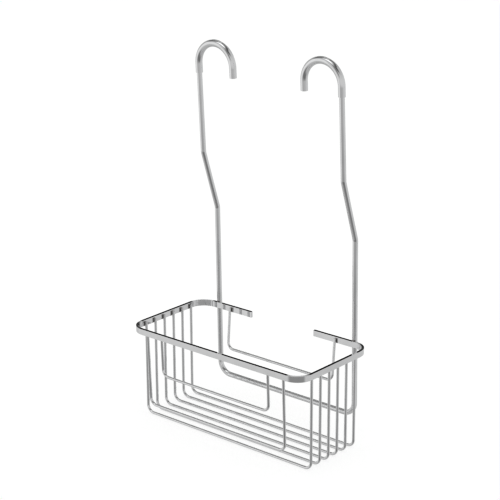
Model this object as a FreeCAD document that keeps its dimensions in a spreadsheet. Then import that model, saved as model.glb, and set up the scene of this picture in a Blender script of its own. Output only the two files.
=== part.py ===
import FreeCAD, Part
import math
import os

import Sketcher
from FreeCAD import Placement, Rotation, Vector

# Shower caddy: a wire basket that hangs from the two inlet unions of a wall mixer.
# One steel rod makes the whole carrying frame. It runs across behind the basket, up both
# sides of it, jogs forward, and ends in two hooks that turn in towards each other.
# Millimetres. +X is right seen from the front, +Y goes back to the wall, +Z is up.
# The origin is the middle of the bounding box, on the plane that the floor wires stand on.

SIZES = (
    ("basket_length", 250, "rim, outside, left to right"),
    ("basket_depth", 124.5, "rim, outside, front to back"),
    ("basket_height", 114.5, "underside of the floor wires to the top of the rim"),
    ("overall_height", 434, "underside of the floor wires to the top of the hooks"),
    ("strip_height", 7, "flat steel strip of the rim, upright side"),
    ("strip_thickness", 2.5, "flat steel strip of the rim, thin side"),
    ("strip_edge_radius", 0.2, "rolled edges of the strip"),
    ("rim_corner_radius", 20, "rim corners, outside"),
    ("back_return", 79, "side of the rim to the cut end of the strip at the back"),
    ("wire_dia", 3, "thin wires of the basket"),
    ("wire_bend_radius", 8, "centre line of every bend in the thin wires"),
    ("wire_end_inset", 2, "wire ends stop this far below the top of the rim"),
    ("floor_wire_count", 6, "wires that make the floor and both ends"),
    ("floor_wire_inset", 24.5, "front or back of the rim to the nearest floor wire"),
    ("outer_guard_inset", 26, "side of the rim to the long front guard's legs"),
    ("outer_guard_drop", 92, "top of the rim down the long front guard to its cross run"),
    ("inner_guard_inset", 47.5, "side of the rim to the short guards' legs"),
    ("inner_guard_drop", 51.5, "top of the rim down the short guards to their cross runs"),
    ("front_guard_lean", 2, "degrees that the front guards lean in, towards the floor"),
    ("back_guard_lean", 4.5, "degrees that the back guard leans in, towards the floor"),
    ("rod_dia", 6, "rod of the carrying frame"),
    ("rod_bend_radius", 15, "centre line of the two bottom bends"),
    ("leg_inset", 25, "side of the rim to the centre of a frame leg"),
    ("leg_drop", 91, "top of the rim to the cross run of the frame"),
    ("jog_rise", 117, "top of the rim to the lower bend of the jog"),
    ("jog_height", 69.5, "lower to upper bend of the jog"),
    ("jog_depth", 22.7, "how far the jog brings the legs forward"),
    ("jog_bend_radius", 10, "centre line of the jog bends"),
    ("lower_lean", 1, "degrees that the legs lean forward below the jog"),
    ("upper_lean", 3.1, "degrees that the hooks lean forward above the jog"),
    ("hook_radius", 25, "centre line of the hook arches"),
    ("sleeve_clearance", 0.1, "between rod and sleeve, all round"),
    ("sleeve_wall", 0.9, "wall of the sleeves on the hooks"),
    ("sleeve_straight", 11, "straight sleeve below the arch, both ends"),
    ("rod_end_inset", 1.5, "rod ends stop this far inside the sleeves"),
)

# Places that several pieces share. The frame legs lean, so the cross run at their feet is
# the furthest back, and the rim sits forward of the middle by half of what lies behind it.
LOWER_LEAN = "Sizes.lower_lean * 1 deg"
UPPER_LEAN = "Sizes.upper_lean * 1 deg"
FOOT_SETBACK = f"Sizes.leg_drop * tan({LOWER_LEAN})"
FRONT = f"-(Sizes.basket_depth + Sizes.rod_dia + {FOOT_SETBACK}) / 2"
BACK = f"({FRONT} + Sizes.basket_depth)"
LEG_X = "(Sizes.basket_length / 2 - Sizes.leg_inset)"
LEG_Y = f"({BACK} + Sizes.rod_dia / 2)"
JOG_LOW_Y = f"({LEG_Y} - Sizes.jog_rise * tan({LOWER_LEAN}))"
JOG_LOW_Z = "(Sizes.basket_height + Sizes.jog_rise)"
JOG_TOP_Y = f"({JOG_LOW_Y} - Sizes.jog_depth)"
JOG_TOP_Z = f"({JOG_LOW_Z} + Sizes.jog_height)"
SLEEVE_DIA = "(Sizes.rod_dia + 2 * (Sizes.sleeve_clearance + Sizes.sleeve_wall))"
ARCH_X = f"({LEG_X} - Sizes.hook_radius)"
ARCH_Z = f"(Sizes.overall_height - {SLEEVE_DIA} / 2 - Sizes.hook_radius * cos({UPPER_LEAN}))"
ARCH_Y = f"({JOG_TOP_Y} - ({ARCH_Z} - {JOG_TOP_Z}) * tan({UPPER_LEAN}))"

doc = FreeCAD.newDocument("shower_caddy")


def fill_sheet():
    """Put every driving size in the sheet, one to a row: value, then what it is."""
    sizes = doc.addObject("Spreadsheet::Sheet", "Sizes")
    for row, (alias, value, meaning) in enumerate(SIZES, start=1):
        sizes.set(f"A{row}", str(value))
        sizes.setAlias(f"A{row}", alias)
        sizes.set(f"B{row}", meaning)
    doc.recompute()
    return sizes


sheet = fill_sheet()


def size(expression):
    """The value of an expression over the sheet, in millimetres or degrees."""
    value = sheet.evalExpression(expression)
    return float(getattr(value, "Value", value))


def sketch_on(body, plane_role, name):
    """A new sketch on one of the body's own origin planes."""
    sketch = body.newObject("Sketcher::SketchObject", name)
    plane = next(f for f in body.Origin.OriginFeatures if f.Role == plane_role)
    sketch.AttachmentSupport = [(plane, "")]
    sketch.MapMode = "FlatFace"
    return sketch


def dimension(sketch, name, kind, where, expression):
    """Add a driving dimension to a sketch and bind it to the sheet."""
    index = sketch.addConstraint(Sketcher.Constraint(kind, *where, size(expression)))
    sketch.renameConstraint(index, name)
    sketch.setExpression(f"Constraints.{name}", expression)


def quarter_arc(centre_x, centre_y, radius, first_degrees):
    """A quarter turn, anticlockwise from the given angle, for a sketch."""
    circle = Part.Circle(Vector(centre_x, centre_y, 0), Vector(0, 0, 1), radius)
    start = math.radians(first_degrees)
    return Part.ArcOfCircle(circle, start, start + math.pi / 2)


def line(x1, y1, x2, y2):
    """A straight piece for a sketch."""
    return Part.LineSegment(Vector(x1, y1, 0), Vector(x2, y2, 0))


def sweep_profile(body, profile, path):
    """Sweep a profile sketch along a path sketch inside a body."""
    pipe = body.newObject("PartDesign::AdditivePipe", "Pipe")
    pipe.Profile = profile
    pipe.Spine = path
    body.Tip = pipe
    profile.Visibility = False
    path.Visibility = False


def place(thing, x="0", y="0", z="0", lean="0"):
    """Bind the place of a piece to the sheet; lean turns its top forward, about X."""
    thing.Placement = Placement(Vector(), Rotation(Vector(1, 0, 0), size(lean)))
    for axis, expression in (("x", x), ("y", y), ("z", z)):
        thing.setExpression(f"Placement.Base.{axis}", f"({expression}) * 1 mm")
    thing.setExpression("Placement.Rotation.Angle", f"({lean}) * 1 deg")


def round_profile(body, offset_x, outer_dia, bore_dia=None):
    """A round section, or a ring, on the body's XY plane, at offset_x left of the middle."""
    sketch = sketch_on(body, "XY_Plane", "Section")
    rings = [("outer_dia", outer_dia)]
    if bore_dia:
        rings.append(("bore_dia", bore_dia))
    for index, (name, expression) in enumerate(rings):
        centre = Vector(-size(offset_x), 0, 0)
        sketch.addGeometry(Part.Circle(centre, Vector(0, 0, 1), size(expression) / 2))
        dimension(sketch, name, "Diameter", (index,), expression)
        sketch.addConstraint(Sketcher.Constraint("PointOnObject", index, 3, -1))
        dimension(sketch, f"{name}_offset", "DistanceX", (index, 3, -1, 1), offset_x)
    return sketch


# ---- thin wires ----------------------------------------------------------------------

def u_wire(name, half_span, drop, y, lean="0"):
    """A wire bent into a U: its ends under the top of the rim, its cross run below."""
    body = doc.addObject("PartDesign::Body", name)
    path = sketch_on(body, "XZ_Plane", "Path")
    half = size(half_span)
    low = -size(drop)
    bend = size("Sizes.wire_bend_radius")
    path.addGeometry([
        line(-half, 0, -half, low + bend),
        quarter_arc(-half + bend, low + bend, bend, 180),
        line(-half + bend, low, half - bend, low),
        quarter_arc(half - bend, low + bend, bend, 270),
        line(half, low + bend, half, 0),
    ])
    path.addConstraint([
        Sketcher.Constraint("Vertical", 0),
        Sketcher.Constraint("Horizontal", 2),
        Sketcher.Constraint("Vertical", 4),
        Sketcher.Constraint("Equal", 1, 3),
        Sketcher.Constraint("PointOnObject", 0, 1, -1),
        Sketcher.Constraint("Symmetric", 0, 1, 4, 2, -2),
    ])
    for corner in range(4):
        path.addConstraint(Sketcher.Constraint("Tangent", corner, 2, corner + 1, 1))
    dimension(path, "half_span", "DistanceX", (0, 1, -1, 1), half_span)
    dimension(path, "drop", "DistanceY", (2, 1, -1, 1), drop)
    dimension(path, "bend", "Radius", (1,), "Sizes.wire_bend_radius")
    section = round_profile(body, half_span, "Sizes.wire_dia")
    sweep_profile(body, section, path)
    place(body, y=y, z="Sizes.basket_height - Sizes.wire_end_inset", lean=lean)
    return body


def floor_wires():
    """Even row of U wires; both legs of each stand against the inside of the rim."""
    half_span = "Sizes.basket_length / 2 - Sizes.strip_thickness - Sizes.wire_dia / 2"
    drop = "Sizes.basket_height - Sizes.wire_end_inset - Sizes.wire_dia / 2"
    count = int(size("Sizes.floor_wire_count"))
    pitch = "(Sizes.basket_depth - 2 * Sizes.floor_wire_inset) / (Sizes.floor_wire_count - 1)"
    wires = []
    for index in range(count):
        y = f"{FRONT} + Sizes.floor_wire_inset + {index} * {pitch}"
        wires.append(u_wire(f"floor_wire_{index + 1}", half_span, drop, y))
    return wires


def guards():
    """Two U wires inside the front of the rim, and one that ties its two back ends."""
    reach = "Sizes.strip_thickness + Sizes.wire_dia / 2"
    wires = []
    for name, kind, y, lean in (
        ("front_guard_outer", "outer", f"{FRONT} + {reach}", "Sizes.front_guard_lean"),
        ("front_guard_inner", "inner", f"{FRONT} + {reach}", "Sizes.front_guard_lean"),
        ("back_guard", "inner", f"{BACK} - ({reach})", "-Sizes.back_guard_lean"),
    ):
        half_span = f"Sizes.basket_length / 2 - Sizes.{kind}_guard_inset"
        drop = f"Sizes.{kind}_guard_drop - Sizes.wire_end_inset"
        wires.append(u_wire(name, half_span, drop, y, lean))
    return wires


# ---- rim -----------------------------------------------------------------------------

def rim_path(body):
    """Centre line of the strip: five straights and four corners, open at the back."""
    path = sketch_on(body, "XY_Plane", "Path")
    half_strip = "Sizes.strip_thickness / 2"
    side_x = f"Sizes.basket_length / 2 - {half_strip}"
    side_y = f"Sizes.basket_depth / 2 - {half_strip}"
    gap_x = "Sizes.basket_length / 2 - Sizes.back_return"
    corner = f"Sizes.rim_corner_radius - {half_strip}"
    x, y, gap, r = size(side_x), size(side_y), size(gap_x), size(corner)
    path.addGeometry([
        line(-gap, y, -x + r, y),
        quarter_arc(-x + r, y - r, r, 90),
        line(-x, y - r, -x, -y + r),
        quarter_arc(-x + r, -y + r, r, 180),
        line(-x + r, -y, x - r, -y),
        quarter_arc(x - r, -y + r, r, 270),
        line(x, -y + r, x, y - r),
        quarter_arc(x - r, y - r, r, 0),
        line(x - r, y, gap, y),
    ])
    for straight, kind in ((0, "Horizontal"), (2, "Vertical"), (4, "Horizontal"),
                           (6, "Vertical"), (8, "Horizontal")):
        path.addConstraint(Sketcher.Constraint(kind, straight))
    for joint in range(8):
        path.addConstraint(Sketcher.Constraint("Tangent", joint, 2, joint + 1, 1))
    for arc in (3, 5, 7):
        path.addConstraint(Sketcher.Constraint("Equal", 1, arc))
    path.addConstraint(Sketcher.Constraint("Symmetric", 0, 1, 8, 2, -2))
    dimension(path, "side_left", "DistanceX", (2, 1, -1, 1), side_x)
    dimension(path, "side_right", "DistanceX", (-1, 1, 6, 1), side_x)
    dimension(path, "front", "DistanceY", (4, 1, -1, 1), side_y)
    dimension(path, "back", "DistanceY", (-1, 1, 0, 1), side_y)
    dimension(path, "gap", "DistanceX", (0, 1, -1, 1), gap_x)
    dimension(path, "corner", "Radius", (1,), corner)
    return path


def strip_section(body):
    """Section of the flat strip, with its four edges rolled round, at the cut end."""
    section = sketch_on(body, "YZ_Plane", "Section")
    section.setExpression("AttachmentOffset.Base.z",
                          "-(Sizes.basket_length / 2 - Sizes.back_return) * 1 mm")
    outer = "Sizes.basket_depth / 2"
    inner = f"{outer} - Sizes.strip_thickness"
    y_in, y_out, r = size(inner), size(outer), size("Sizes.strip_edge_radius")
    top = size("Sizes.strip_height") / 2
    section.addGeometry([
        line(y_in + r, -top, y_out - r, -top),
        quarter_arc(y_out - r, -top + r, r, 270),
        line(y_out, -top + r, y_out, top - r),
        quarter_arc(y_out - r, top - r, r, 0),
        line(y_out - r, top, y_in + r, top),
        quarter_arc(y_in + r, top - r, r, 90),
        line(y_in, top - r, y_in, -top + r),
        quarter_arc(y_in + r, -top + r, r, 180),
    ])
    for straight, kind in ((0, "Horizontal"), (4, "Horizontal"), (6, "Vertical")):
        section.addConstraint(Sketcher.Constraint(kind, straight))
    for joint in range(8):
        section.addConstraint(Sketcher.Constraint("Tangent", joint, 2, (joint + 1) % 8, 1))
    for arc in (3, 5, 7):
        section.addConstraint(Sketcher.Constraint("Equal", 1, arc))
    section.addConstraint(Sketcher.Constraint("Symmetric", 2, 1, 2, 2, -1))
    dimension(section, "outer_face", "DistanceX", (-1, 1, 2, 1), outer)
    dimension(section, "inner_face", "DistanceX", (-1, 1, 6, 1), inner)
    dimension(section, "strip_height", "DistanceY", (0, 1, 4, 1), "Sizes.strip_height")
    dimension(section, "edge", "Radius", (1,), "Sizes.strip_edge_radius")
    return section


def basket_rim():
    """Flat strip on edge, bent round three and a half sides of the basket."""
    body = doc.addObject("PartDesign::Body", "basket_rim")
    path = rim_path(body)
    section = strip_section(body)
    sweep_profile(body, section, path)
    place(
        body,
        y=f"{FRONT} + Sizes.basket_depth / 2",
        z="Sizes.basket_height - Sizes.strip_height / 2",
    )
    return body


# ---- hook sleeves --------------------------------------------------------------------

def hook_sleeve(name, side):
    """Tube drawn over a hook: a half circle with a short straight at each end."""
    body = doc.addObject("PartDesign::Body", name)
    path = sketch_on(body, "XZ_Plane", "Path")
    r = size("Sizes.hook_radius")
    rise = size("Sizes.sleeve_straight")
    arch = Part.Circle(Vector(0, rise, 0), Vector(0, 0, 1), r)
    path.addGeometry([
        line(-r, 0, -r, rise),
        Part.ArcOfCircle(arch, 0, math.pi),
        line(r, rise, r, 0),
    ])
    path.addConstraint([
        Sketcher.Constraint("Vertical", 0),
        Sketcher.Constraint("Vertical", 2),
        Sketcher.Constraint("PointOnObject", 0, 1, -1),
        Sketcher.Constraint("Symmetric", 0, 1, 2, 2, -2),
        Sketcher.Constraint("Tangent", 0, 2, 1, 2),
        Sketcher.Constraint("Tangent", 1, 1, 2, 1),
    ])
    dimension(path, "arch", "Radius", (1,), "Sizes.hook_radius")
    dimension(path, "straight", "DistanceY", (0, 1, 0, 2), "Sizes.sleeve_straight")
    bore = "Sizes.rod_dia + 2 * Sizes.sleeve_clearance"
    section = round_profile(body, "Sizes.hook_radius", SLEEVE_DIA, bore)
    sweep_profile(body, section, path)
    place(
        body,
        x=f"{side} * {ARCH_X}",
        y=f"{ARCH_Y} + Sizes.sleeve_straight * sin({UPPER_LEAN})",
        z=f"{ARCH_Z} - Sizes.sleeve_straight * cos({UPPER_LEAN})",
        lean="Sizes.upper_lean",
    )
    return body


# ---- carrying frame ------------------------------------------------------------------

def half_route(side, up):
    """Corners and bend radii of half the rod, from the tip of its hook to the cross run."""
    across = Vector(side * size("Sizes.hook_radius"), 0, 0)
    arch = Vector(side * size(ARCH_X), size(ARCH_Y), size(ARCH_Z))
    crown = arch + up * size("Sizes.hook_radius")
    tip_length = size("Sizes.sleeve_straight - Sizes.rod_end_inset")
    leg_x = side * size(LEG_X)
    foot_y = size(f"{LEG_Y} + {FOOT_SETBACK}")
    foot_z = size("Sizes.basket_height - Sizes.leg_drop")
    corners = [
        arch - across - up * tip_length,
        crown - across,
        crown + across,
        Vector(leg_x, size(JOG_TOP_Y), size(JOG_TOP_Z)),
        Vector(leg_x, size(JOG_LOW_Y), size(JOG_LOW_Z)),
        Vector(leg_x, foot_y, foot_z),
    ]
    hook = size("Sizes.hook_radius")
    jog = size("Sizes.jog_bend_radius")
    return corners, [hook, hook, jog, jog, size("Sizes.rod_bend_radius")]


def rounded_wire(corners, radii):
    """Straight runs between corners, joined by tangent arcs of the given radii."""
    edges = []
    here = corners[0]
    for before, corner, after, radius in zip(corners, corners[1:], corners[2:], radii):
        back = (before - corner).normalize()
        ahead = (after - corner).normalize()
        half_angle = back.getAngle(ahead) / 2
        cut_back = radius / math.tan(half_angle)
        middle = (back + ahead).normalize() * (radius / math.sin(half_angle) - radius)
        arc_start = corner + back * cut_back
        arc_end = corner + ahead * cut_back
        if here.distanceToPoint(arc_start) > 1e-6:
            edges.append(Part.LineSegment(here, arc_start).toShape())
        edges.append(Part.Arc(arc_start, corner + middle, arc_end).toShape())
        here = arc_end
    edges.append(Part.LineSegment(here, corners[-1]).toShape())
    return Part.Wire(edges)


def frame_rod():
    """The single rod: its route turns in three planes, so a plain wire carries it."""
    lean = math.radians(size("Sizes.upper_lean"))
    up = Vector(0, -math.sin(lean), math.cos(lean))
    left_corners, left_radii = half_route(-1, up)
    right_corners, right_radii = half_route(1, up)
    route = doc.addObject("Part::Feature", "frame_route")
    route.Shape = rounded_wire(left_corners + right_corners[::-1],
                               left_radii + right_radii[::-1])
    section = doc.addObject("Part::Circle", "frame_section")
    section.setExpression("Radius", "Sizes.rod_dia / 2 * 1 mm")
    section.Placement = Placement(left_corners[0], Rotation(Vector(0, 0, 1), up))
    rod = doc.addObject("Part::Sweep", "frame_rod")
    rod.Sections = [section]
    rod.Spine = (route, [f"Edge{n + 1}" for n in range(len(route.Shape.Edges))])
    rod.Solid = True
    rod.Frenet = False
    doc.recompute()
    bent_volume = route.Shape.Length * math.pi * size("Sizes.rod_dia") ** 2 / 4
    if abs(rod.Shape.Volume / bent_volume - 1) > 0.001:
        raise RuntimeError("frame_rod: the swept rod doesn't hold the volume of its route")
    return rod


# ---- build, check and write ----------------------------------------------------------

def check(pieces):
    """Stop before anything is written if an object failed or a piece isn't one solid."""
    for thing in doc.Objects:
        if {"Invalid", "Error"} & set(thing.State):
            raise RuntimeError(f"{thing.Label}: {thing.State}")
    for piece in pieces:
        shape = piece.Shape
        if shape.isNull() or not shape.isValid() or len(shape.Solids) != 1:
            raise RuntimeError(f"{piece.Label}: shape is not one valid solid")


pieces = [
    frame_rod(),
    hook_sleeve("hook_sleeve_left", -1),
    hook_sleeve("hook_sleeve_right", 1),
    basket_rim(),
    *floor_wires(),
    *guards(),
]
doc.recompute()
check(pieces)
os.makedirs("parts", exist_ok=True)
for piece in pieces:
    piece.Shape.exportStep(os.path.join("parts", f"{piece.Label}.step"))
    box = piece.Shape.optimalBoundingBox()
    print(f"{piece.Label}: {piece.Shape.Volume:.1f} mm3, x {box.XMin:.2f} {box.XMax:.2f},"
          f" y {box.YMin:.2f} {box.YMax:.2f}, z {box.ZMin:.2f} {box.ZMax:.2f}")
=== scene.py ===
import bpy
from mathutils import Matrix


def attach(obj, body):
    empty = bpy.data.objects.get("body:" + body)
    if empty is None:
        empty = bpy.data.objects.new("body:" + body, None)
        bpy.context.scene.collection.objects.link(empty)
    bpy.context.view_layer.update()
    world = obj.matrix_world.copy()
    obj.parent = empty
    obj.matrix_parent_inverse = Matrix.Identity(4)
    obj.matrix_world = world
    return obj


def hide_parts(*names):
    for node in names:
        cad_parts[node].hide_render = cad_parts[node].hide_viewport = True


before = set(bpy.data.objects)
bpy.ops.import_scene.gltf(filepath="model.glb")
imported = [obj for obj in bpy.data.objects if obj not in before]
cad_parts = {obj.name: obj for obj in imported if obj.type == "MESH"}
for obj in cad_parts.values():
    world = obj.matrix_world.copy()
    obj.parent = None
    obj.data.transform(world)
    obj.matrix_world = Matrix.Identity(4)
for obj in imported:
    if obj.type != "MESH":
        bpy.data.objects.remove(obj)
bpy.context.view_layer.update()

import math
import random

import bmesh
import bpy
from mathutils import Matrix, Vector

# ---- Carrying frame ------------------------------------------------------------------
# One 6 mm steel rod, bent cold: the cross run under the basket, two legs with a forward
# jog, and the hooks. It is polished lengthways, then plated with nickel and bright chrome.

PLATE_COLOUR = (0.870, 0.871, 0.874, 1.0)
HAZE_TINT = 0.965
HAZE_SCALE = 45.0
# Painted shade: where a rod or wire end meets the rim strip, its base colour is darkened to
# this grey.
CREVICE_SHADE_COLOUR = (0.58, 0.57, 0.56, 1.0)
CREVICE_ROUGHNESS = 0.33
WAVE_SCALE = 520.0
WAVE_DEPTH = 0.000003
WAVE_STRENGTH = 0.35
ROD_ROUGHNESS = 0.030
ROD_LINES = 9000
CROSS_RUN_TOP = 0.050
SLEEVE_FOOT = 0.390
LEG_PLANE = 0.058456
LEG_X = 0.100
LEG_SLOPE = math.tan(math.radians(1.0))
ROD_RADIUS = 0.003
RIM_FOOT, RIM_HEAD = 0.1075, 0.1145
# The legs are welded to the back of the rim with a thin bead down each side.
BEAD_STEPS = 9
BEAD_ARC = 6
BEAD_SINK = 0.00004
LEG_BEAD_TOP, LEG_BEAD_LENGTH, LEG_BEAD_THROAT = 0.1142, 0.0064, 0.00030
WELD_COLOUR = (0.74, 0.74, 0.74, 1.0)
WELD_PIT_COLOUR = (0.50, 0.49, 0.48, 1.0)
WELD_PIT_SCALE, WELD_PIT_DEPTH = 1900.0, 0.00004


def maths(tree, operation, *terms):
    """One Math node; each term is a number or another node's output."""
    node = tree.nodes.new("ShaderNodeMath")
    node.operation = operation
    for socket, term in zip(node.inputs, terms):
        if isinstance(term, (int, float)):
            socket.default_value = term
        else:
            tree.links.new(term, socket)
    return node.outputs[0]


def fade(tree, reading, start, end, low=0.0, high=1.0):
    """Ease from low at start to high at end; start may be the larger of the two."""
    node = tree.nodes.new("ShaderNodeMapRange")
    node.interpolation_type = "SMOOTHSTEP"
    tree.links.new(reading, node.inputs["Value"])
    node.inputs["From Min"].default_value = min(start, end)
    node.inputs["From Max"].default_value = max(start, end)
    node.inputs["To Min"].default_value = low if start < end else high
    node.inputs["To Max"].default_value = high if start < end else low
    return node.outputs["Result"]


def blend_tints(tree, share, first, second):
    """Mix two colours, or a colour and another node's colour output."""
    node = tree.nodes.new("ShaderNodeMix")
    node.data_type = "RGBA"
    tree.links.new(share, node.inputs["Factor"])
    colours = [socket for socket in node.inputs if socket.type == "RGBA"]
    for socket, tint in zip(colours, (first, second)):
        if isinstance(tint, tuple):
            socket.default_value = tint
        else:
            tree.links.new(tint, socket)
    return next(socket for socket in node.outputs if socket.type == "RGBA")


def plating(name, roughness, lines, grain_of, crevice_of=None):
    """Bright chrome on drawn steel: fine draw lines, faint haze, and painted shade in crevices.

    grain_of and crevice_of take the node tree and the x, y and z readings. The first returns
    the reading that the draw lines count across, the second how deep in a crevice a point is.
    """
    finish = bpy.data.materials.new(name)
    finish.use_nodes = True
    tree = finish.node_tree
    metal = tree.nodes["Principled BSDF"]
    metal.inputs["Metallic"].default_value = 1.0
    place = tree.nodes.new("ShaderNodeTexCoord").outputs["Object"]
    split = tree.nodes.new("ShaderNodeSeparateXYZ")
    tree.links.new(place, split.inputs[0])
    x, y, z = split.outputs

    streaks = tree.nodes.new("ShaderNodeTexNoise")
    streaks.noise_dimensions = "1D"
    streaks.inputs["Scale"].default_value = lines
    streaks.inputs["Detail"].default_value = 2.0
    tree.links.new(grain_of(tree, x, y, z), streaks.inputs["W"])
    haze = tree.nodes.new("ShaderNodeTexNoise")
    haze.inputs["Scale"].default_value = HAZE_SCALE
    haze.inputs["Detail"].default_value = 3.0
    tree.links.new(place, haze.inputs["Vector"])
    waves = tree.nodes.new("ShaderNodeTexNoise")
    waves.inputs["Scale"].default_value = WAVE_SCALE
    waves.inputs["Detail"].default_value = 1.0
    tree.links.new(place, waves.inputs["Vector"])

    dull = maths(tree, "MULTIPLY", streaks.outputs["Fac"], haze.outputs["Fac"])
    rough = fade(tree, dull, 0.10, 0.55, roughness * 0.7, roughness * 1.9)
    tint = blend_tints(
        tree,
        fade(tree, haze.outputs["Fac"], 0.35, 0.75),
        PLATE_COLOUR,
        tuple(HAZE_TINT * part for part in PLATE_COLOUR[:3]) + (1.0,),
    )
    # Painted shade: the base colour turns darker grey, and the finish duller, deep in a
    # crevice.
    if crevice_of:
        depth = crevice_of(tree, x, y, z)
        ragged = maths(tree, "SUBTRACT", waves.outputs["Fac"], 0.5)
        ragged = maths(tree, "MULTIPLY", ragged, 0.35)
        patchy = fade(tree, maths(tree, "ADD", depth, ragged), 0.35, 0.65)
        tint = blend_tints(tree, patchy, tint, CREVICE_SHADE_COLOUR)
        duller = maths(tree, "MULTIPLY", patchy, CREVICE_ROUGHNESS)
        rough = maths(tree, "MAXIMUM", rough, duller)
    tree.links.new(tint, metal.inputs["Base Color"])
    tree.links.new(rough, metal.inputs["Roughness"])
    bump = tree.nodes.new("ShaderNodeBump")
    bump.inputs["Strength"].default_value = WAVE_STRENGTH
    bump.inputs["Distance"].default_value = WAVE_DEPTH
    tree.links.new(waves.outputs["Fac"], bump.inputs["Height"])
    tree.links.new(bump.outputs["Normal"], metal.inputs["Normal"])
    return finish


def plate(node_name, finish):
    """Give a carried-over part its finish."""
    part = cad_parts[node_name]
    for slot in part.material_slots:
        slot.link = "OBJECT"
        slot.material = finish


def rod_grain(tree, x, y, z):
    """Lines follow the rod: counted across y on the cross run and hooks, across x on legs."""
    leg = maths(
        tree,
        "MULTIPLY",
        maths(tree, "GREATER_THAN", z, CROSS_RUN_TOP),
        maths(tree, "LESS_THAN", z, SLEEVE_FOOT),
    )
    mix = tree.nodes.new("ShaderNodeMix")
    tree.links.new(leg, mix.inputs["Factor"])
    tree.links.new(y, mix.inputs["A"])
    tree.links.new(x, mix.inputs["B"])
    return mix.outputs["Result"]


def leg_crevice_shade(tree, x, y, z):
    """The side of each leg that lies against the rim's back, where painted shade goes."""
    against = fade(tree, y, LEG_PLANE + 0.0022, LEG_PLANE + 0.0006)
    level = maths(
        tree,
        "MULTIPLY",
        fade(tree, z, RIM_FOOT - 0.002, RIM_FOOT),
        fade(tree, z, RIM_HEAD + 0.002, RIM_HEAD),
    )
    return maths(tree, "MULTIPLY", against, level)


def weld_finish():
    """Chrome over a rough bead: duller than the rod, pitted and a little darker."""
    finish = bpy.data.materials.new("weld_chrome")
    finish.use_nodes = True
    tree = finish.node_tree
    metal = tree.nodes["Principled BSDF"]
    metal.inputs["Metallic"].default_value = 1.0
    place = tree.nodes.new("ShaderNodeTexCoord").outputs["Object"]
    pits = tree.nodes.new("ShaderNodeTexNoise")
    pits.inputs["Scale"].default_value = WELD_PIT_SCALE
    pits.inputs["Detail"].default_value = 4.0
    tree.links.new(place, pits.inputs["Vector"])
    tint = blend_tints(
        tree, fade(tree, pits.outputs["Fac"], 0.40, 0.62), WELD_PIT_COLOUR, WELD_COLOUR
    )
    tree.links.new(tint, metal.inputs["Base Color"])
    dull = fade(tree, pits.outputs["Fac"], 0.35, 0.65, 0.42, 0.24)
    tree.links.new(dull, metal.inputs["Roughness"])
    bump = tree.nodes.new("ShaderNodeBump")
    bump.inputs["Strength"].default_value = 0.5
    bump.inputs["Distance"].default_value = WELD_PIT_DEPTH
    tree.links.new(pits.outputs["Fac"], bump.inputs["Height"])
    tree.links.new(bump.outputs["Normal"], metal.inputs["Normal"])
    return finish


def lay_welds(name, joints, radius, throat, length):
    """A bead down each joint, filling the corners between a round rod and a flat face.

    Each joint is (top of the bead on the face, direction out of the face, slope of the rod
    away from the face). The bead meets rod and face smoothly and thins out at both ends.
    """
    dice = random.Random(sum(map(ord, name)))
    points, faces = [], []
    for top, outward, slope in joints:
        across = outward.cross(Vector((0, 0, 1)))
        first = len(points)
        for step in range(BEAD_STEPS + 1):
            down = length * step / BEAD_STEPS
            middle = radius + slope * down
            fillet = throat * (0.25 + 0.75 * math.sin(math.pi * step / BEAD_STEPS) ** 0.4)
            fillet = max(fillet * dice.uniform(0.88, 1.12), (middle - radius) / 2 + 0.00003)
            foot = math.sqrt((radius + fillet) ** 2 - (middle - fillet) ** 2)
            meets = math.atan2(middle - fillet, foot)
            curve = [(foot, -BEAD_SINK)]
            for part in range(BEAD_ARC + 1):
                angle = 1.5 * math.pi - (math.pi / 2 + meets) * part / BEAD_ARC
                curve.append((foot + fillet * math.cos(angle), fillet * (1 + math.sin(angle))))
            curve += [(-aside, height) for aside, height in reversed(curve)]
            for aside, height in curve:
                points.append(top + across * aside + outward * height - Vector((0, 0, down)))
        ring = 2 * (BEAD_ARC + 2)
        for step in range(BEAD_STEPS):
            for turn in range(ring):
                here = first + step * ring + turn
                after = first + step * ring + (turn + 1) % ring
                faces.append((here, here + ring, after + ring, after))
        faces.append(tuple(first + turn for turn in range(ring)))
        faces.append(tuple(first + BEAD_STEPS * ring + turn for turn in reversed(range(ring))))
    mesh = bpy.data.meshes.new(name)
    mesh.from_pydata(points, [], faces)
    shell = bmesh.new()
    shell.from_mesh(mesh)
    bmesh.ops.recalc_face_normals(shell, faces=shell.faces)
    shell.to_mesh(mesh)
    shell.free()
    mesh.shade_smooth()
    mesh.set_sharp_from_angle(angle=math.radians(50))
    welds = bpy.data.objects.new(name, mesh)
    bpy.context.collection.objects.link(welds)
    mesh.materials.append(weld_chrome)
    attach(welds, "root")


plate("frame_rod", plating("rod_chrome", ROD_ROUGHNESS, ROD_LINES, rod_grain, leg_crevice_shade))
weld_chrome = weld_finish()
lay_welds(
    "leg_welds",
    [
        (Vector((x, LEG_PLANE, LEG_BEAD_TOP)), Vector((0, 1, 0)), LEG_SLOPE)
        for x in (-LEG_X, LEG_X)
    ],
    ROD_RADIUS,
    LEG_BEAD_THROAT,
    LEG_BEAD_LENGTH,
)

# ---- Hook sleeves --------------------------------------------------------------------
# A bright tube is drawn over the end of each hook, so the mixer's wall unions aren't
# scratched. It is smoother than the rod, with its polish running round the hook.

SLEEVE_ROUGHNESS = 0.022
SLEEVE_LINES = 6000

sleeve_chrome = plating(
    "sleeve_chrome", SLEEVE_ROUGHNESS, SLEEVE_LINES, lambda tree, x, y, z: y
)
for side in ("left", "right"):
    plate("hook_sleeve_" + side, sleeve_chrome)

# ---- Basket rim ----------------------------------------------------------------------
# Flat steel strip, 7 x 2.5 mm, bent on edge round the basket and cut off square behind.
# Its wide faces are belt polished along the strip before plating.

STRIP_ROUGHNESS = 0.026
STRIP_LINES = 5200

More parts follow.
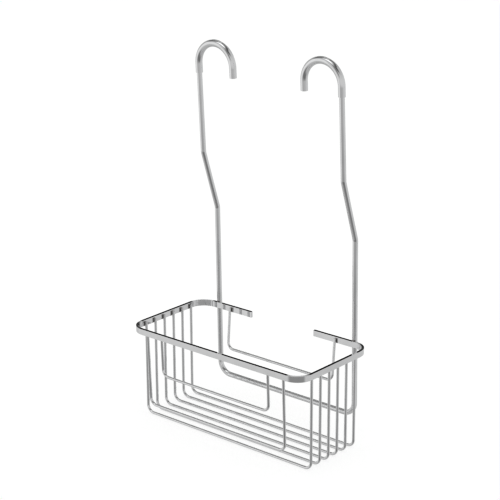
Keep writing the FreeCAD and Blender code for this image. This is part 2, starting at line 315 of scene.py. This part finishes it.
# Bending draws the strip's outer side thinner and squeezes its inner side taller, so the
# top and bottom edges slope a few degrees in each corner.
STRIP_HEIGHT = 0.007
STRIP_THICK = 0.0025
STRIP_EDGE = 0.0002
EDGE_STEPS = 5
RIM_HALF_LENGTH = 0.125
RIM_FRONT, RIM_BACK = -0.066044, 0.058456
RIM_CORNER = 0.020
CORNER_STEPS = 28
CUT_END_X = 0.046
EDGE_SQUEEZE = 0.5
SQUEEZE_RUN_OUT = 0.0025


def strip_outline():
    """The strip's section: (out, up, normal out, normal up), with its four edges eased."""
    outline = []
    for side_out, side_up, start in ((1, 1, 0), (-1, 1, 90), (-1, -1, 180), (1, -1, 270)):
        for step in range(EDGE_STEPS + 1):
            angle = math.radians(start + 90 * step / EDGE_STEPS)
            normal = (math.cos(angle), math.sin(angle))
            outline.append((
                side_out * (STRIP_THICK / 2 - STRIP_EDGE) + STRIP_EDGE * normal[0],
                side_up * (STRIP_HEIGHT / 2 - STRIP_EDGE) + STRIP_EDGE * normal[1],
                *normal,
            ))
    return outline


def rim_stations():
    """Points along the strip's middle, from one cut end round the front to the other.

    Each is (x, y, direction out of the basket in radians, how far into a bend it is).
    """
    side = RIM_HALF_LENGTH - STRIP_THICK / 2
    front, back = RIM_FRONT + STRIP_THICK / 2, RIM_BACK - STRIP_THICK / 2
    bend = RIM_CORNER - STRIP_THICK / 2
    stations = []

    def straight(x0, y0, x1, y1, out, open_start, open_end):
        length = math.hypot(x1 - x0, y1 - y0)
        eased = [SQUEEZE_RUN_OUT * part / 4 for part in range(5)]
        marks = {length / 2}
        marks |= {0.0} if open_start else set(eased)
        marks |= {length} if open_end else {length - mark for mark in eased}
        for mark in sorted(marks):
            share = 0.0
            for clear, is_open in ((mark, open_start), (length - mark, open_end)):
                if not is_open and clear < SQUEEZE_RUN_OUT:
                    share = 0.5 + 0.5 * math.cos(math.pi * clear / SQUEEZE_RUN_OUT)
                    share *= 0.5
            stations.append((
                x0 + (x1 - x0) * mark / length, y0 + (y1 - y0) * mark / length, out, share
            ))

    def corner(middle_x, middle_y, start):
        for step in range(1, CORNER_STEPS):
            turned = math.radians(90 * step / CORNER_STEPS)
            along = bend * min(turned, math.pi / 2 - turned)
            share = 1.0
            if along < SQUEEZE_RUN_OUT:
                share = 0.5 + 0.5 * (0.5 - 0.5 * math.cos(math.pi * along / SQUEEZE_RUN_OUT))
            out = math.radians(start) + turned
            stations.append((
                middle_x + bend * math.cos(out), middle_y + bend * math.sin(out), out, share
            ))

    straight(-CUT_END_X - STRIP_EDGE, back, bend - side, back, math.pi / 2, True, False)
    corner(bend - side, back - bend, 90)
    straight(-side, back - bend, -side, front + bend, math.pi, False, False)
    corner(bend - side, front + bend, 180)
    straight(bend - side, front, side - bend, front, 1.5 * math.pi, False, False)
    corner(side - bend, front + bend, 270)
    straight(side, front + bend, side, back - bend, 0.0, False, False)
    corner(side - bend, back - bend, 0)
    straight(side - bend, back, CUT_END_X + STRIP_EDGE, back, math.pi / 2, False, True)
    return stations


def bend_rim():
    """The strip's surface, with its normals set so that its flats stay flat."""
    outline, stations = strip_outline(), rim_stations()
    ring = len(outline)
    middle_up = RIM_HEAD - STRIP_HEIGHT / 2
    points, normals, faces = [], [], []
    for x, y, out, share in stations:
        squeeze = EDGE_SQUEEZE * share / (RIM_CORNER - STRIP_THICK / 2)
        for u, v, normal_u, normal_v in outline:
            taller = 1 - squeeze * u
            points.append(Vector((
                x + u * math.cos(out), y + u * math.sin(out), middle_up + v * taller
            )))
            lean = normal_u + squeeze * v * normal_v / taller
            normals.append(Vector((
                lean * math.cos(out), lean * math.sin(out), normal_v / taller
            )).normalized())
    for row in range(len(stations) - 1):
        for step in range(ring):
            here, after = row * ring + step, row * ring + (step + 1) % ring
            faces.append((here, here + ring, after + ring, after))
    # Each cut end is deburred: its edge is eased in a quarter round.
    last = (len(stations) - 1) * ring
    for base, end_face in ((0, Vector((1, 0, 0))), (last, Vector((-1, 0, 0)))):
        loop = list(range(base, base + ring))
        for turn in (math.radians(30), math.radians(60), math.radians(90)):
            inner = list(range(len(points), len(points) + ring))
            for vertex in range(base, base + ring):
                inward = normals[vertex] * (math.cos(turn) - 1) + end_face * math.sin(turn)
                points.append(points[vertex] + inward * STRIP_EDGE)
                normals.append(normals[vertex] * math.cos(turn) + end_face * math.sin(turn))
            for step in range(ring):
                after = (step + 1) % ring
                faces.append((loop[step], loop[after], inner[after], inner[step]))
            loop = inner
        faces.append(tuple(loop))
    mesh = bpy.data.meshes.new("rim_strip")
    mesh.from_pydata(points, [], faces)
    shell = bmesh.new()
    shell.from_mesh(mesh)
    bmesh.ops.recalc_face_normals(shell, faces=shell.faces)
    shell.to_mesh(mesh)
    shell.free()
    mesh.shade_smooth()
    mesh.normals_split_custom_set_from_vertices(normals)
    return mesh


rim = bpy.data.objects.new("rim_strip", bend_rim())
bpy.context.collection.objects.link(rim)
rim.data.materials.append(
    plating("rim_chrome", STRIP_ROUGHNESS, STRIP_LINES, lambda tree, x, y, z: z)
)
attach(rim, "root")
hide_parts("basket_rim")

# ---- Floor wires ---------------------------------------------------------------------
# Six 3 mm wires, each bent once into a U: up one side, under the basket and up the other.
# Their ends are spot welded to the inside of the strip, 2 mm below its top edge.

WIRE_ROUGHNESS = 0.035
WIRE_LINES = 8000
WIRE_RADIUS = 0.0015
FLOOR_WIRE_X = 0.121
FLOOR_FIRST_Y, FLOOR_PITCH = -0.041544, 0.0151
WELD_FOOT = 0.1066
WIRE_BEAD_TOP, WIRE_BEAD_THROAT = 0.1123, 0.00018
FLOOR_BEAD_LENGTH = 0.0046


def floor_crevice_shade(tree, x, y, z):
    """The back of each wire end, against the strip, where painted shade goes."""
    out = maths(tree, "ABSOLUTE", x)
    return maths(
        tree,
        "MULTIPLY",
        fade(tree, out, FLOOR_WIRE_X - 0.0001, FLOOR_WIRE_X + 0.0005),
        fade(tree, z, WELD_FOOT - 0.0012, WELD_FOOT),
    )


wire_chrome = plating(
    "floor_wire_chrome", WIRE_ROUGHNESS, WIRE_LINES, lambda tree, x, y, z: y, floor_crevice_shade
)
for number in range(1, 7):
    plate(f"floor_wire_{number}", wire_chrome)
lay_welds(
    "floor_welds",
    [
        (
            Vector((
                side * (FLOOR_WIRE_X + WIRE_RADIUS),
                FLOOR_FIRST_Y + FLOOR_PITCH * row,
                WIRE_BEAD_TOP,
            )),
            Vector((-side, 0, 0)),
            0.0,
        )
        for side in (-1, 1)
        for row in range(6)
    ],
    WIRE_RADIUS,
    WIRE_BEAD_THROAT,
    FLOOR_BEAD_LENGTH,
)

# ---- Guards --------------------------------------------------------------------------
# Three more U-bent wires hang from the strip and keep bottles in: two in front, one
# inside the other, and one behind. They lean inwards a little and are spot welded too.

GUARD_ROUGHNESS = 0.035
GUARD_FRONT_Y = -0.062044
GUARD_BACK_Y = 0.054456
GUARD_FRONT_SLOPE = math.tan(math.radians(2.0))
GUARD_BACK_SLOPE = math.tan(math.radians(4.5))
GUARD_FRONT_X = (-0.099, -0.0775, 0.0775, 0.099)
GUARD_BACK_X = (-0.0775, 0.0775)
GUARD_BEAD_LENGTH = 0.0030


def guard_crevice_shade(tree, x, y, z):
    """The same painted shade on the guards' ends, on the side that meets the strip."""
    front = fade(tree, y, GUARD_FRONT_Y + 0.0001, GUARD_FRONT_Y - 0.0005)
    behind = fade(tree, y, GUARD_BACK_Y - 0.0001, GUARD_BACK_Y + 0.0005)
    return maths(
        tree,
        "MULTIPLY",
        maths(tree, "MAXIMUM", front, behind),
        fade(tree, z, WELD_FOOT - 0.0012, WELD_FOOT),
    )


guard_chrome = plating(
    "guard_chrome", GUARD_ROUGHNESS, WIRE_LINES, lambda tree, x, y, z: y, guard_crevice_shade
)
for guard in ("front_guard_outer", "front_guard_inner", "back_guard"):
    plate(guard, guard_chrome)
lay_welds(
    "guard_welds",
    [
        (
            Vector((x, GUARD_FRONT_Y - WIRE_RADIUS, WIRE_BEAD_TOP)),
            Vector((0, 1, 0)),
            GUARD_FRONT_SLOPE,
        )
        for x in GUARD_FRONT_X
    ]
    + [
        (
            Vector((x, GUARD_BACK_Y + WIRE_RADIUS, WIRE_BEAD_TOP)),
            Vector((0, -1, 0)),
            GUARD_BACK_SLOPE,
        )
        for x in GUARD_BACK_X
    ],
    WIRE_RADIUS,
    WIRE_BEAD_THROAT,
    GUARD_BEAD_LENGTH,
)

# ---- Studio --------------------------------------------------------------------------
# A pale floor with no edge in sight, and a tent of soft boxes and dark flags round it.
# Only mirror reflections see the tent: the floor is lit by an even white light.

EVEN_LIGHT = 1.0
TENT_BELOW, TENT_LEVEL, TENT_ABOVE = 0.77, 0.89, 0.79
# Each card: its two sides and its lower and upper edge in degrees, the softness of its
# edges, and how bright it is. Sides are measured round from the back, over the right.
TENT_CARDS = (
    # The left wall, then the large soft boxes: front left and overhead.
    (245, 285, 0, 40, 12, 0.70),
    (205, 255, -20, 30, 5, 1.00),
    (155, 250, 55, 85, 5, 1.25),
    # Grey and black flags: high in front, high at the back and sides, behind, and low in front.
    (110, 150, 35, 65, 10, 0.30),
    (155, 180, 5, 45, 8, 0.50),
    (-25, 40, 55, 70, 5, 0.20),
    (60, 100, 60, 75, 5, 0.15),
    (250, 290, 30, 70, 10, 0.40),
    (310, 330, 15, 30, 3, 0.05),
    (330, 365, 10, 35, 5, 0.60),
    (95, 195, -50, -20, 10, 0.50),
)
FLOOR_SIZE = 60.0
FLOOR_LEVEL = -0.0003
FLOOR_SHADE, FLOOR_GLOW = 0.16, 0.85


def hang_card(tree, azimuth, elevation, behind, card):
    """Lay one card of the tent over the light behind it."""
    side_a, side_b, lower, upper, soft, brightness = card

    def inside(angle, start, end, turns):
        away = maths(tree, "SUBTRACT", angle, (start + end) / 2)
        if turns:
            away = maths(tree, "WRAP", away, 180.0, -180.0)
        half = (end - start) / 2
        return fade(tree, maths(tree, "ABSOLUTE", away), half + soft, half - soft)

    cover = maths(
        tree,
        "MULTIPLY",
        inside(azimuth, side_a, side_b, True),
        inside(elevation, lower, upper, False),
    )
    mix = tree.nodes.new("ShaderNodeMix")
    tree.links.new(cover, mix.inputs["Factor"])
    tree.links.new(behind, mix.inputs["A"])
    mix.inputs["B"].default_value = brightness
    return mix.outputs["Result"]


studio = bpy.data.worlds.new("studio")
bpy.context.scene.world = studio
studio.use_nodes = True
sky = studio.node_tree
sky.nodes.clear()
heading = sky.nodes.new("ShaderNodeSeparateXYZ")
sky.links.new(sky.nodes.new("ShaderNodeTexCoord").outputs["Generated"], heading.inputs[0])
azimuth = maths(
    sky, "DEGREES", maths(sky, "ARCTAN2", heading.outputs["X"], heading.outputs["Y"])
)
elevation = maths(sky, "DEGREES", maths(sky, "ARCSINE", heading.outputs["Z"]))
light = maths(
    sky,
    "ADD",
    fade(sky, elevation, -60.0, 0.0, TENT_BELOW, TENT_LEVEL),
    fade(sky, elevation, 0.0, 60.0, 0.0, TENT_ABOVE - TENT_LEVEL),
)
for card in TENT_CARDS:
    light = hang_card(sky, azimuth, elevation, light, card)
tent = sky.nodes.new("ShaderNodeBackground")
sky.links.new(light, tent.inputs["Color"])
even = sky.nodes.new("ShaderNodeBackground")
even.inputs["Color"].default_value = (1.0, 1.0, 1.0, 1.0)
even.inputs["Strength"].default_value = EVEN_LIGHT
chooser = sky.nodes.new("ShaderNodeMixShader")
sky.links.new(sky.nodes.new("ShaderNodeLightPath").outputs["Is Glossy Ray"], chooser.inputs[0])
sky.links.new(even.outputs[0], chooser.inputs[1])
sky.links.new(tent.outputs[0], chooser.inputs[2])
sky.links.new(
    chooser.outputs[0], sky.nodes.new("ShaderNodeOutputWorld").inputs["Surface"]
)

bpy.ops.mesh.primitive_grid_add(
    x_subdivisions=8, y_subdivisions=8, size=FLOOR_SIZE, location=(0, 0, FLOOR_LEVEL)
)
floor = bpy.context.object
floor.name = "studio_floor"
paper = bpy.data.materials.new("floor_paper")
paper.use_nodes = True
sheet = paper.node_tree.nodes["Principled BSDF"]
sheet.inputs["Base Color"].default_value = (FLOOR_SHADE, FLOOR_SHADE, FLOOR_SHADE, 1.0)
sheet.inputs["Roughness"].default_value = 1.0
sheet.inputs["Specular IOR Level"].default_value = 0.0
sheet.inputs["Emission Color"].default_value = (1.0, 1.0, 1.0, 1.0)
sheet.inputs["Emission Strength"].default_value = FLOOR_GLOW
floor.data.materials.append(paper)
floor.visible_glossy = False

# The camera stands front right and looks down at the middle of the caddy.
CAMERA_TURN, CAMERA_TILT, CAMERA_ROLL = 40.598, 18.015, -0.231
CAMERA_AIM = (0.003075, -0.003077, 0.215275)
CAMERA_DISTANCE = 1.733477
CAMERA_LENS = 113.85

lens = bpy.data.cameras.new("camera")
lens.lens = CAMERA_LENS
lens.sensor_width = 36.0
lens.clip_end = 200.0
camera = bpy.data.objects.new("camera", lens)
bpy.context.collection.objects.link(camera)
camera.matrix_world = (
    Matrix.Translation(CAMERA_AIM)
    @ Matrix.Rotation(math.radians(CAMERA_TURN), 4, "Z")
    @ Matrix.Rotation(math.radians(90 - CAMERA_TILT), 4, "X")
    @ Matrix.Rotation(math.radians(CAMERA_ROLL), 4, "Z")
    @ Matrix.Translation((0, 0, CAMERA_DISTANCE))
)
bpy.context.scene.camera = camera
bpy.context.scene.view_settings.view_transform = "Raw"
